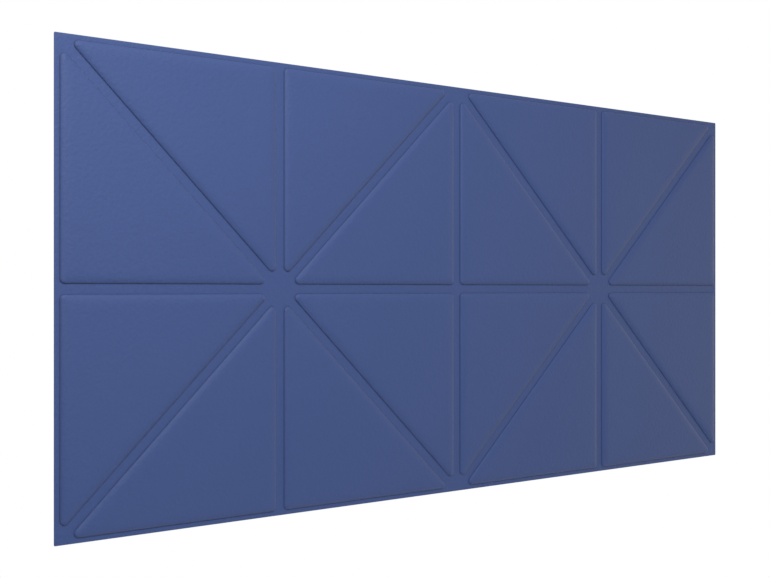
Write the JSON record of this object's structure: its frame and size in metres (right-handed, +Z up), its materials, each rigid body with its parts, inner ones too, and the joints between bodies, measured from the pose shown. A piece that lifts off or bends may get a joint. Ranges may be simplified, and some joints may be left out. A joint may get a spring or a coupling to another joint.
{
  "type": "wall punch pad",
  "caption": "Wide padded wall panel for punching and kicking: a blue vinyl face raised in triangular pads around two star patterns, hung on hidden clips.",
  "frame": {"origin": "on the wall plane, at the middle of the panel's width and height, which is also the middle of the central wall clip's back face", "axes": "+X to the right along the wall as seen from the front, +Y into the wall, +Z up; the padded face looks towards -Y"},
  "size_m": [2, 0.066, 1],
  "materials": {
    "cover_vinyl": "blue coated fabric with a fine leather grain, satin",
    "strike_foam": "dark closed-cell foam sheet, matte",
    "top_foam": "pale soft foam, matte",
    "base_foam": "firm bonded foam of mixed crumbs, matte",
    "plywood": "birch plywood, sanded",
    "staple_wire": "galvanised wire",
    "zinc_steel": "bright zinc plate",
    "buffer_rubber": "black moulded rubber, matte",
    "clip_aluminium": "mill finish, drawn lines along its length"
  },
  "bodies": {
    "wall_clips": {"wall_clips_upper": "clip_aluminium", "wall_clips_middle": "clip_aluminium", "wall_clips_lower": "clip_aluminium"},
    "panel": {"front_cover": "cover_vinyl", "pad_skin_01": "cover_vinyl", "pad_skin_02": "cover_vinyl", "pad_skin_03": "cover_vinyl", "pad_skin_04": "cover_vinyl", "pad_skin_05": "cover_vinyl", "pad_skin_06": "cover_vinyl", "pad_skin_07": "cover_vinyl", "pad_skin_08": "cover_vinyl", "pad_skin_09": "cover_vinyl", "pad_skin_10": "cover_vinyl", "pad_skin_11": "cover_vinyl", "pad_skin_12": "cover_vinyl", "pad_skin_13": "cover_vinyl", "pad_skin_14": "cover_vinyl", "pad_skin_15": "cover_vinyl", "pad_skin_16": "cover_vinyl", "strike_foam_01": "strike_foam", "strike_foam_02": "strike_foam", "strike_foam_03": "strike_foam", "strike_foam_04": "strike_foam", "strike_foam_05": "strike_foam", "strike_foam_06": "strike_foam", "strike_foam_07": "strike_foam", "strike_foam_08": "strike_foam", "strike_foam_09": "strike_foam", "strike_foam_10": "strike_foam", "strike_foam_11": "strike_foam", "strike_foam_12": "strike_foam", "strike_foam_13": "strike_foam", "strike_foam_14": "strike_foam", "strike_foam_15": "strike_foam", "strike_foam_16": "strike_foam", "top_foam_layer": "top_foam", "base_foam_layer": "base_foam", "backing_board": "plywood", "cover_staples": "staple_wire", "clip_screws": "zinc_steel", "wall_buffers": "buffer_rubber", "panel_clips_upper": "clip_aluminium", "panel_clips_middle": "clip_aluminium", "panel_clips_lower": "clip_aluminium"}
  },
  "joints": [
    {"name": "panel_lift", "type": "slide", "parent": "wall_clips", "child": "panel", "axis": [0, 0, 1], "range_m": [0, 0.015]}
  ]
}
